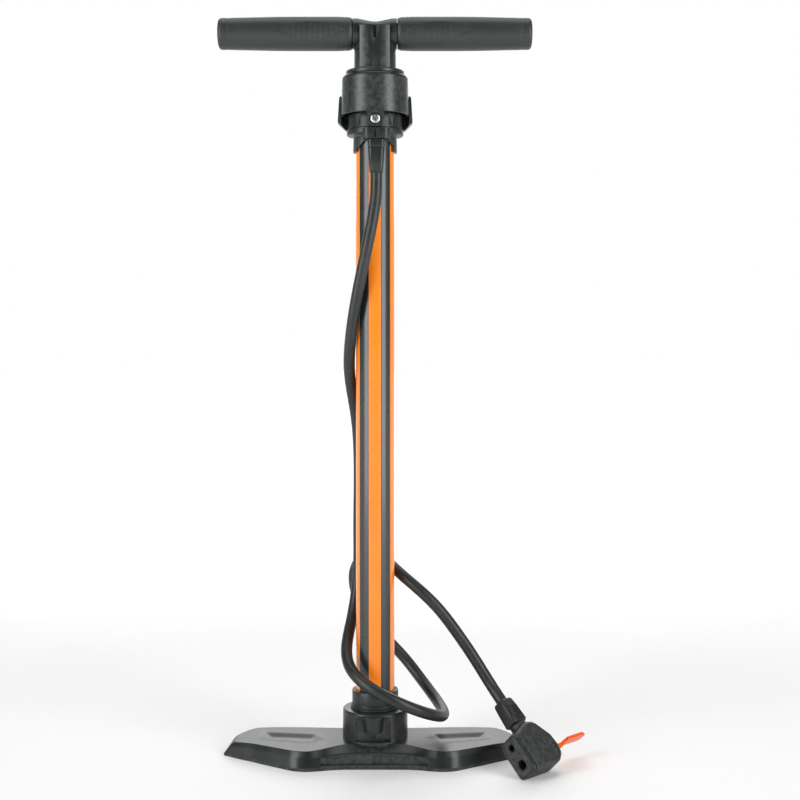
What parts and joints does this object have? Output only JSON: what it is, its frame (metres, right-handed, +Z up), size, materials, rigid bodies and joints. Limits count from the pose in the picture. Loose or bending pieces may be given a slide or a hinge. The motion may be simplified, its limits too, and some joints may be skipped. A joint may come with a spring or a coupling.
{
  "type": "floor bike pump",
  "caption": "Tall floor pump for bicycle tyres: T-handle, striped barrel, two-winged foot, gauge behind the cap, free hose ending in a lever-lock valve head.",
  "frame": {"origin": "on the barrel's axis, at the floor under the foot", "axes": "+Z up along the barrel, +X along the handle and the foot's wings, -Y the side that the hose comes out of, +Y the gauge's side"},
  "size_m": [0.3369, 0.1662, 0.6798],
  "materials": {
    "black_plastic": "black glass-filled nylon, fine satin grain",
    "collar_plastic": "black moulded plastic, satin",
    "grip_rubber": "soft black rubber, matt",
    "orange_lacquer": "gloss orange lacquer with dark stripes along the barrel",
    "pointer_orange": "orange painted pointer",
    "lever_orange": "red-orange moulded plastic, semi-gloss",
    "black_rubber": "black rubber, fine grain",
    "steel": "zinc-plated or drawn steel",
    "chrome": "polished hard chrome",
    "brass": "turned brass",
    "dial_white": "white printed dial",
    "clear_lens": "clear moulded lens"
  },
  "bodies": {
    "root": {"foot": "black_plastic", "barrel_base_cap": "collar_plastic", "foot_screw_left": "steel", "foot_screw_right": "steel", "base_seal_ring": "black_rubber", "check_valve_seat": "brass", "check_valve_spring": "steel", "check_valve_plug": "brass", "base_port_plug": "black_plastic", "base_port_screw": "steel", "outer_barrel": "orange_lacquer", "inner_cylinder": "steel", "cap_collar": "collar_plastic", "cap_cover": "black_plastic", "cap_screw": "steel", "cylinder_head": "collar_plastic", "rod_guide_bush": "brass", "rod_wiper_seal": "black_rubber", "cylinder_top_seal": "black_rubber", "gauge_housing": "black_plastic", "gauge_bezel": "chrome", "gauge_lens": "clear_lens", "gauge_dial": "dial_white", "gauge_bourdon_tube": "brass", "hose_strain_relief": "black_plastic", "hose_barb": "brass", "hose": "black_rubber", "hose_ferrule": "black_plastic", "head_body": "black_plastic", "head_face_plate": "black_plastic", "small_valve_grommet": "black_rubber", "large_valve_grommet": "black_rubber", "head_barb": "brass", "lever_pin": "steel"},
    "piston": {"piston_body": "collar_plastic", "piston_cup_seal": "black_rubber"},
    "handle": {"handle_core": "black_plastic", "handle_pin": "steel", "left_grip": "grip_rubber", "right_grip": "grip_rubber", "piston_rod": "chrome", "rod_nut": "steel", "rod_bumper": "black_rubber"},
    "poppet": {"check_valve_poppet": "black_rubber"},
    "pointer": {"gauge_pointer": "pointer_orange"},
    "lever": {"lever": "lever_orange"},
    "plunger": {"head_plunger": "brass"}
  },
  "joints": [
    {"name": "handle_slide", "type": "slide", "parent": "root", "child": "piston", "axis": [0, 0, 1], "range_m": [0, 0.46]},
    {"name": "handle_turn", "type": "hinge", "parent": "piston", "child": "handle", "pos_m": [0, 0, 0.6646], "axis": [0, 0, 1], "continuous": true},
    {"name": "check_valve_lift", "type": "slide", "parent": "root", "child": "poppet", "axis": [0, 0, -1], "range_m": [0, 0.0015], "stiffness_N_per_m": 60, "springref_m": -0.003, "deforming": ["check_valve_spring"]},
    {"name": "pointer_turn", "type": "hinge", "parent": "root", "child": "pointer", "pos_m": [0, 0.0334, 0.6], "axis": [0, -0.9397, -0.342], "range_deg": [0, 270], "stiffness_Nm_per_rad": 0.0005},
    {"name": "lever_flip", "type": "hinge", "parent": "root", "child": "lever", "pos_m": [0.1553, -0.03719, 0.01625], "axis": [0.4998, -0.49, 0.7142], "range_deg": [0, 90]},
    {"name": "plunger_push", "type": "slide", "parent": "root", "child": "plunger", "axis": [-0.7001, -0.7141, 0], "range_m": [0, 0.002]}
  ],
  "couplings": [
    {"joint": "plunger_push", "follows": "lever_flip", "m_per_rad": 0.00127}
  ]
}
